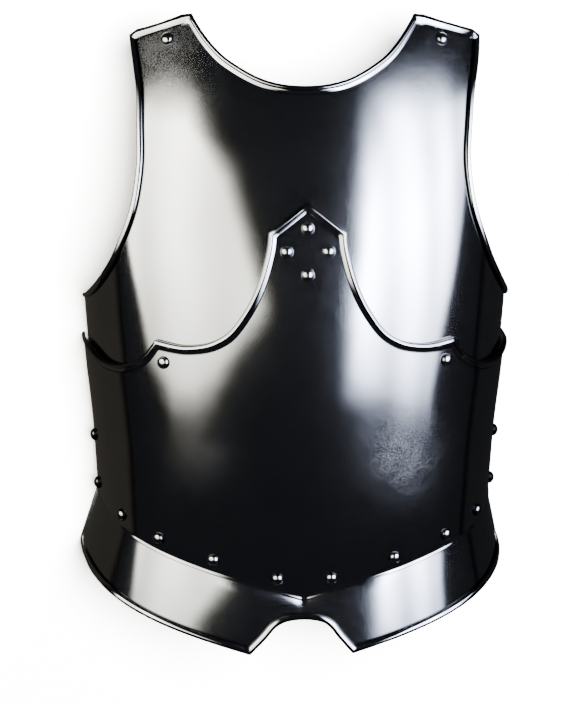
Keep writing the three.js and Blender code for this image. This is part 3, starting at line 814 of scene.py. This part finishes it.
rivet_steel = polished_steel("polished_rivet_steel", "b4b6b8", "a2a4a7", RIVET_ROUGHNESS)
shoulder_share = (SHOULDER_RIVET_AROUND - NECK_AROUND) / (SHOULDER_AROUND - NECK_AROUND)
diamond_top = apex[1] - DIAMOND_TOP_INSET
diamond_middle = diamond_top - DIAMOND_HALF_HEIGHT
around_range = np.linspace(0, 0.5, 2001)
middle_points = body_surface(around_range, np.full_like(around_range, diamond_middle))
diamond_around = np.interp(DIAMOND_HALF_WIDTH, middle_points[:, 0], around_range)

# Rivets on one side and on the centre line: name, around, height, plates that it joins
RIVETS = [
    ("shoulder_rivet", SHOULDER_RIVET_AROUND,
     SHOULDER_HEIGHT - SHOULDER_SLOPE * shoulder_share - SHOULDER_RIVET_INSET, "breast"),
    ("spire_rivet_top", 0.0, diamond_top, "both"),
    ("spire_rivet", diamond_around, diamond_middle, "both"),
    ("spire_rivet_bottom", 0.0, diamond_middle - DIAMOND_HALF_HEIGHT, "both"),
    ("cusp_rivet", CUSP_RIVET_AROUND, CUSP_HEIGHT - CUSP_RIVET_INSET, "both"),
    ("side_rivet", SIDE_RIVET_AROUND, WAIST_SIDE_HEIGHT + SIDE_RIVET_RISE, "plackart"),
]
RIVETS += [
    (f"waist_rivet_{i + 1}", around, waist_height(around) + WAIST_RIVET_INSET, "both")
    for i, around in enumerate(WAIST_RIVETS_AROUND)
]


def rivet_object(name, around, height, plates):
    place = (np.array(around), np.array(height))
    lift = 0.0 if plates == "breast" else float(plackart_lift(*place)) + SHEET
    thickness = 2 * SHEET + SEAT if plates == "both" else SHEET
    tail = -(thickness + 2 * HEAD_SEAT)
    turn_angle = np.linspace(0, QUARTER_TURN, DOME_RINGS + 1)[:-1]
    profile = [(TAIL_FLAT_RADIUS, tail - TAIL_HEIGHT), (TAIL_RADIUS, tail), (SHANK_RADIUS, tail),
               (SHANK_RADIUS, 0.0)]
    profile += [(HEAD_RADIUS * math.cos(a), HEAD_HEIGHT * math.sin(a)) for a in turn_angle]
    normal = Vector(normals_on(body_surface, *place))
    origin = Vector(body_surface(*place)) + normal * (lift + HEAD_SEAT)
    stand = normal.to_track_quat("Z", "Y").to_matrix()
    points = []
    for radius, along in profile:
        for k in range(RIVET_SIDES):
            angle = 2 * math.pi * k / RIVET_SIDES
            points.append(Vector((radius * math.cos(angle), radius * math.sin(angle), along)))
    points += [Vector((0, 0, tail - TAIL_HEIGHT)), Vector((0, 0, HEAD_HEIGHT))]
    points = [(origin + stand @ point) * MM + Vector((0, LENGTH_SHIFT, 0)) for point in points]
    faces = []
    last_ring = (len(profile) - 1) * RIVET_SIDES
    for k in range(RIVET_SIDES):
        near = (k + 1) % RIVET_SIDES
        faces.append((len(points) - 2, near, k))
        for r in range(len(profile) - 1):
            lower, upper_ring = r * RIVET_SIDES, (r + 1) * RIVET_SIDES
            faces.append((lower + k, lower + near, upper_ring + near, upper_ring + k))
        faces.append((last_ring + k, last_ring + near, len(points) - 1))
    mesh = bpy.data.meshes.new(name)
    mesh.from_pydata(points, [], faces)
    mesh.materials.append(rivet_steel)
    mesh.polygons.foreach_set("use_smooth", np.ones(len(faces), bool))
    mesh.set_sharp_from_angle(angle=CREASE_ANGLE)
    # Painted shade: the dome's colour darkens toward black at its rim, where it meets the plate
    rim = 1 - smooth_share(turn_angle, *RIM_SHADE_ANGLE)
    crease = np.concatenate([np.zeros(len(profile) - DOME_RINGS), rim])
    mark_points(mesh, crease=np.concatenate([np.repeat(crease, RIVET_SIDES), (0.0, 0.0)]))
    return placed(name, mesh)


for name, around, height, plates in RIVETS:
    sides = [("", 1)] if around == 0 else [("_left", -1), ("_right", 1)]
    for ending, sign in sides:
        rivet = rivet_object(f"{name}{ending}_dome", sign * around, height, plates)
        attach(rivet, "root")
        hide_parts(f"{name}{ending}")


# Studio
# A pale floor, two cloth softboxes that show as the two broad highlights, two dim
# cards for the flanks, and an overhead light for the floor alone. The room is dark.
FLOOR_SIZE = 8.0
FLOOR_WHITE = "f2f1ef"
OVERHEAD_SIZE = 1.6
OVERHEAD_POWER = 2000.0
OVERHEAD_PLACE = (0.6, 0.5, 3.0)
ROOM_DARK = "26272b"
ROOM_LIGHT = 0.7
PAPER_LIGHT = 12.0
BOX_DISTANCE = 0.7
# Softbox outlines, seen from the armour.
# Columns: across and up as shares of BOX_DISTANCE, share of the way out from the
# middle at which the cloth is fully lit, light there
LEFT_BOX = [
    (-0.95, 0.72, 0.68, 12.0), (0.06, 0.98, 0.54, 12.0), (0.52, 0.45, 0.68, 8.0),
    (0.74, 0.00, 0.74, 6.5), (0.84, -0.22, 0.74, 6.0), (0.46, -0.46, 0.74, 5.6),
    (0.16, -0.68, 0.60, 3.6), (-0.20, -0.66, 0.62, 3.4), (-0.58, -0.46, 0.74, 3.8),
    (-0.90, -0.08, 0.84, 6.5),
]
RIGHT_BOX = [
    (-0.72, -0.60, 0.72, 9.0), (-0.66, -0.26, 0.74, 34.0), (-0.56, 0.16, 0.72, 44.0),
    (-0.36, 1.10, 0.50, 20.0), (0.18, 0.98, 0.48, 18.0), (0.96, 0.56, 0.72, 3.2),
    (0.42, -0.10, 0.88, 5.5), (0.24, -0.40, 0.80, 5.0), (0.16, -0.66, 0.74, 5.0),
]
# The dim cards: edge nearer and farther from straight below, half length, lit share
CARD_INNER = -0.75
CARD_OUTER = 1.48
CARD_REACH = 2.2
CARD_LIT = 0.67


def card(side, light):
    """Outline of the dim card at one flank: 1 for the left one, -1 for the right one."""
    return [(side * across, up, CARD_LIT, light) for across, up in (
        (CARD_INNER, -CARD_REACH), (CARD_OUTER, -CARD_REACH),
        (CARD_OUTER, CARD_REACH), (CARD_INNER, CARD_REACH))]


# Columns: name, angle round from straight above, angle toward the neck, cloth colour,
# light in the middle, outline, place of one lamp tube behind the cloth and spacing of
# the tubes as shares of BOX_DISTANCE, light between the tubes as a share, how steeply
# the light falls off toward the border
LIGHT_PANELS = [
    ("softbox_left", -42.0, 8.0, "f8f4e6", 8.5, LEFT_BOX, 0.0, 0.75, 0.65, 4.5),
    ("softbox_right", 45.0, 8.0, "dfe6fd", 38.0, RIGHT_BOX, -0.11, 0.34, 0.5, 4.5),
    ("card_left", -150.0, 0.0, "d6ccbc", 0.07, card(1, 0.07), 0.0, 1.0, 1.0, 1.5),
    ("card_right", 150.0, 0.0, "c3c6ce", 0.03, card(-1, 0.03), 0.0, 1.0, 1.0, 1.5),
]

floor_mesh = bpy.data.meshes.new("floor")
half = FLOOR_SIZE / 2
floor_mesh.from_pydata([(-half, -half, 0), (half, -half, 0), (half, half, 0), (-half, half, 0)],
                       [], [(0, 1, 2, 3)])
floor = placed("floor", floor_mesh)
# Matt emulsion paint, which gives an even white without a sheen
floor_paint, tree = empty_material("matt_white_floor")
paint = add_node(tree, "ShaderNodeBsdfPrincipled", None, {
    "Base Color": srgb(FLOOR_WHITE), "Roughness": 0.9, "Specular IOR Level": 0.1})
add_node(tree, "ShaderNodeOutputMaterial", None, {"Surface": (paint, "BSDF")})
floor_mesh.materials.append(floor_paint)
floor.visible_glossy = False

for name, azimuth, rise, colour, core, outline, tube, spacing, between, falloff in LIGHT_PANELS:
    a, e = math.radians(azimuth), math.radians(rise)
    toward = Vector((math.sin(a) * math.cos(e), math.sin(e), math.cos(a) * math.cos(e)))
    across = Vector((0, 1, 0)).cross(toward).normalized()
    upward = toward.cross(across)
    rim = [(across * row[0] + upward * row[1]) * BOX_DISTANCE for row in outline]
    middle = sum(rim, Vector()) / len(rim)
    lit = [middle + (corner - middle) * row[2] for corner, row in zip(rim, outline)]
    count = len(rim)
    centre = LOOK_AT + toward * BOX_DISTANCE
    faces = [(0, 1 + (k + 1) % count, 1 + k) for k in range(count)]
    faces += [(1 + k, 1 + (k + 1) % count, 1 + count + (k + 1) % count, 1 + count + k)
              for k in range(count)]
    mesh = bpy.data.meshes.new(name)
    mesh.from_pydata([centre + point for point in (middle, *lit, *rim)], [], faces)
    strengths = [row[3] for row in outline]
    mark_points(
        mesh,
        glow=[core, *strengths, *strengths],
        sideways=[point.dot(across) / BOX_DISTANCE for point in (middle, *lit, *rim)],
        inward=[1.0] * (count + 1) + [0.0] * count,
    )
    panel = placed(name, mesh)
    # Thin white cloth lit from behind, which glows evenly and fades toward its border
    cloth, tree = empty_material(name + "_cloth")
    strength = add_node(tree, "ShaderNodeAttribute", {"attribute_name": "glow"})
    border = add_node(tree, "ShaderNodeAttribute", {"attribute_name": "inward"})
    fade = add_node(tree, "ShaderNodeMath", {"operation": "POWER"}, {
        0: (border, "Fac"), 1: falloff})
    along = add_node(tree, "ShaderNodeAttribute", {"attribute_name": "sideways"})
    phase = add_node(tree, "ShaderNodeMath", {"operation": "MULTIPLY_ADD"}, {
        0: (along, "Fac"), 1: 2 * math.pi / spacing, 2: -2 * math.pi * tube / spacing})
    swing = add_node(tree, "ShaderNodeMath", {"operation": "COSINE"}, {0: (phase, 0)})
    tubes = add_node(tree, "ShaderNodeMapRange", None, {
        "Value": (swing, 0), "From Min": -1.0, "From Max": 1.0, "To Min": between, "To Max": 1.0})
    even = add_node(tree, "ShaderNodeMath", {"operation": "MULTIPLY"}, {
        0: (fade, 0), 1: (strength, "Fac")})
    power = add_node(tree, "ShaderNodeMath", {"operation": "MULTIPLY"}, {
        0: (even, 0), 1: (tubes, "Result")})
    light = add_node(tree, "ShaderNodeEmission", None, {
        "Color": srgb(colour), "Strength": (power, 0)})
    add_node(tree, "ShaderNodeOutputMaterial", None, {"Surface": (light, "Emission")})
    mesh.materials.append(cloth)
    panel.visible_camera = False
    panel.visible_shadow = False

overhead_data = bpy.data.lights.new("overhead", "AREA")
overhead_data.shape = "DISK"
overhead_data.size = OVERHEAD_SIZE
overhead_data.energy = OVERHEAD_POWER
overhead = placed("overhead", overhead_data)
overhead.location = OVERHEAD_PLACE
overhead.rotation_euler = (-overhead.location).to_track_quat("-Z", "Y").to_euler()
overhead.visible_glossy = False

world = bpy.data.worlds.new("dark_room")
world.use_nodes = True
tree = world.node_tree
tree.nodes.clear()
path = add_node(tree, "ShaderNodeLightPath")
room = add_node(tree, "ShaderNodeBackground", None, {
    "Color": srgb(ROOM_DARK), "Strength": ROOM_LIGHT})
paper = add_node(tree, "ShaderNodeBackground", None, {
    "Color": srgb("ffffff"), "Strength": PAPER_LIGHT})
mix = add_node(tree, "ShaderNodeMixShader", None, {
    0: (path, "Is Camera Ray"), 1: (room, "Background"), 2: (paper, "Background")})
add_node(tree, "ShaderNodeOutputWorld", None, {"Surface": (mix, "Shader")})
bpy.context.scene.world = world
